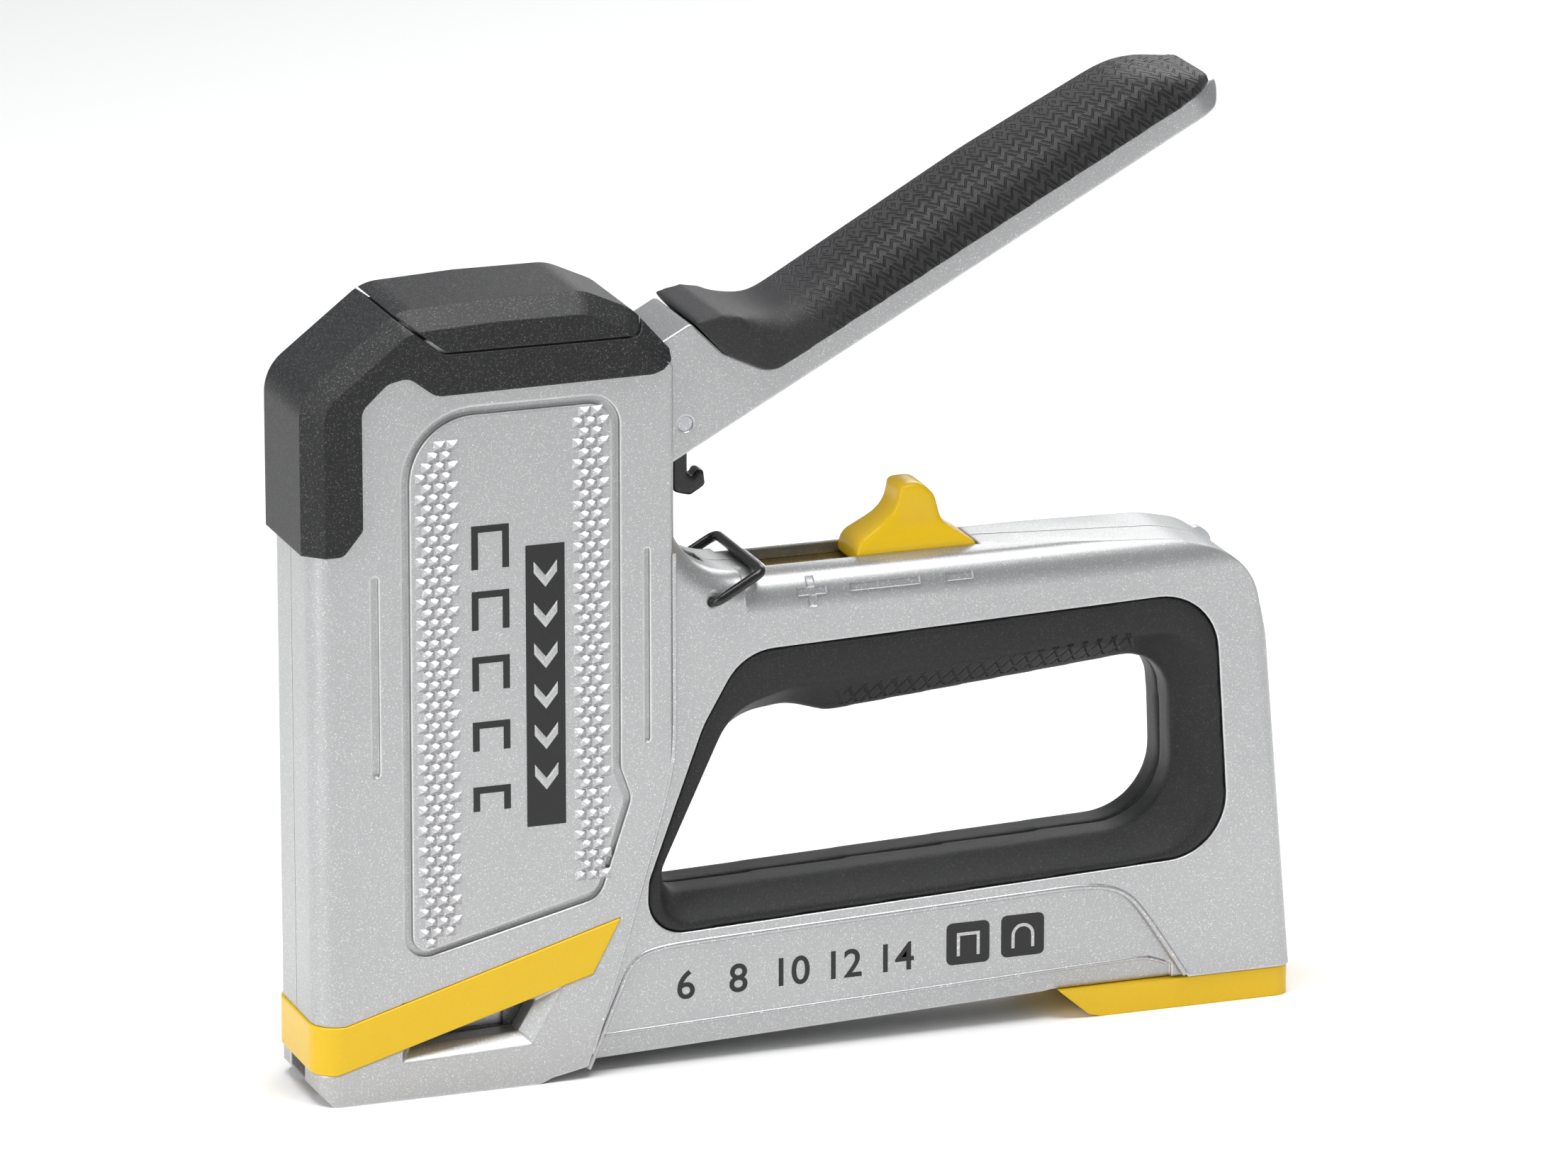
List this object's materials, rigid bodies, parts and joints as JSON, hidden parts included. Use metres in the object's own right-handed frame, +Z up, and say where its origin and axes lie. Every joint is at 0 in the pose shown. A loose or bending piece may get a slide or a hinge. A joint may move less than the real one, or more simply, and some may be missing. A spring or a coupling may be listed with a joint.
{
  "type": "staple gun",
  "caption": "Hand squeeze staple gun for cable staples, with a spring striker in a tall nose, a locking bail, a power slider and a pull-out magazine.",
  "frame": {"origin": "on the mid-plane, on the driver axis, at the work face (the plane of the nose and the heel undersides)", "axes": "+X from the nose to the rear of the tool, +Y to the right-hand side, +Z up out of the work face"},
  "size_m": [0.1957, 0.029, 0.1819],
  "materials": {
    "die_cast_aluminium": "satin cast, fine sparkle grain",
    "yellow_plastic": "glossy moulded",
    "black_plastic": "fine grained",
    "black_rubber": "soft matt",
    "black_wire": "black finish",
    "zinc_steel": "zinc plated",
    "spring_steel": "drawn wire",
    "hard_steel": "ground",
    "staple_wire": "bright galvanised"
  },
  "bodies": {
    "housing": {"left_housing": "die_cast_aluminium", "right_housing": "die_cast_aluminium", "housing_screws": "zinc_steel", "nose_band": "yellow_plastic", "top_cap": "black_plastic", "cap_insert": "black_plastic", "left_grip_liner": "black_rubber", "right_grip_liner": "black_rubber", "lever_pivot_pin": "hard_steel", "return_spring": "spring_steel", "spring_guide": "zinc_steel", "main_spring": "spring_steel", "striker_bumper": "black_rubber", "nose_guide_plate": "hard_steel", "magazine_channel": "zinc_steel"},
    "lever_arm": {"lever": "die_cast_aluminium", "lever_grip": "black_rubber", "left_lift_arm": "zinc_steel", "right_lift_arm": "zinc_steel", "lift_arm_rivets": "zinc_steel", "lever_hook": "black_wire", "hook_rivet": "zinc_steel"},
    "striker_train": {"striker": "hard_steel", "driver_blade": "hard_steel", "blade_rivets": "zinc_steel"},
    "power_setting": {"power_slider": "yellow_plastic", "power_slide_plate": "zinc_steel", "slider_screws": "zinc_steel"},
    "bail": {"lock_bail": "black_wire"},
    "magazine": {"rear_heel": "yellow_plastic", "heel_screws": "zinc_steel", "staple_rail": "zinc_steel", "staple_strip": "staple_wire", "pusher_rod": "zinc_steel", "magazine_carrier": "zinc_steel", "pusher_spring": "spring_steel"},
    "pusher": {"staple_pusher": "zinc_steel"}
  },
  "joints": [
    {"name": "lever_swing", "type": "hinge", "parent": "housing", "child": "lever_arm", "pos_m": [0.04, 0, 0.122], "axis": [0, 1, 0], "range_deg": [0, 27], "stiffness_Nm_per_rad": 0.6, "springref_deg": -28.65, "deforming": ["return_spring"]},
    {"name": "striker_lift", "type": "slide", "parent": "housing", "child": "striker_train", "axis": [0, 0, 1], "range_m": [0, 0.0158], "deforming": ["main_spring"]},
    {"name": "power_select", "type": "slide", "parent": "housing", "child": "power_setting", "axis": [-1, 0, 0], "range_m": [0, 0.0175]},
    {"name": "bail_swing", "type": "hinge", "parent": "housing", "child": "bail", "pos_m": [0.0725, 0, 0.0898], "axis": [0, -1, 0], "range_deg": [0, 78]},
    {"name": "magazine_slide", "type": "slide", "parent": "housing", "child": "magazine", "axis": [1, 0, 0], "range_m": [0, 0.11]},
    {"name": "pusher_slide", "type": "slide", "parent": "magazine", "child": "pusher", "axis": [1, 0, 0], "range_m": [0, 0.06], "stiffness_N_per_m": 60, "springref_m": -0.05, "deforming": ["pusher_spring"]}
  ],
  "couplings": [
    {"joint": "striker_lift", "follows": "lever_swing", "m_per_rad": 0.033497}
  ]
}
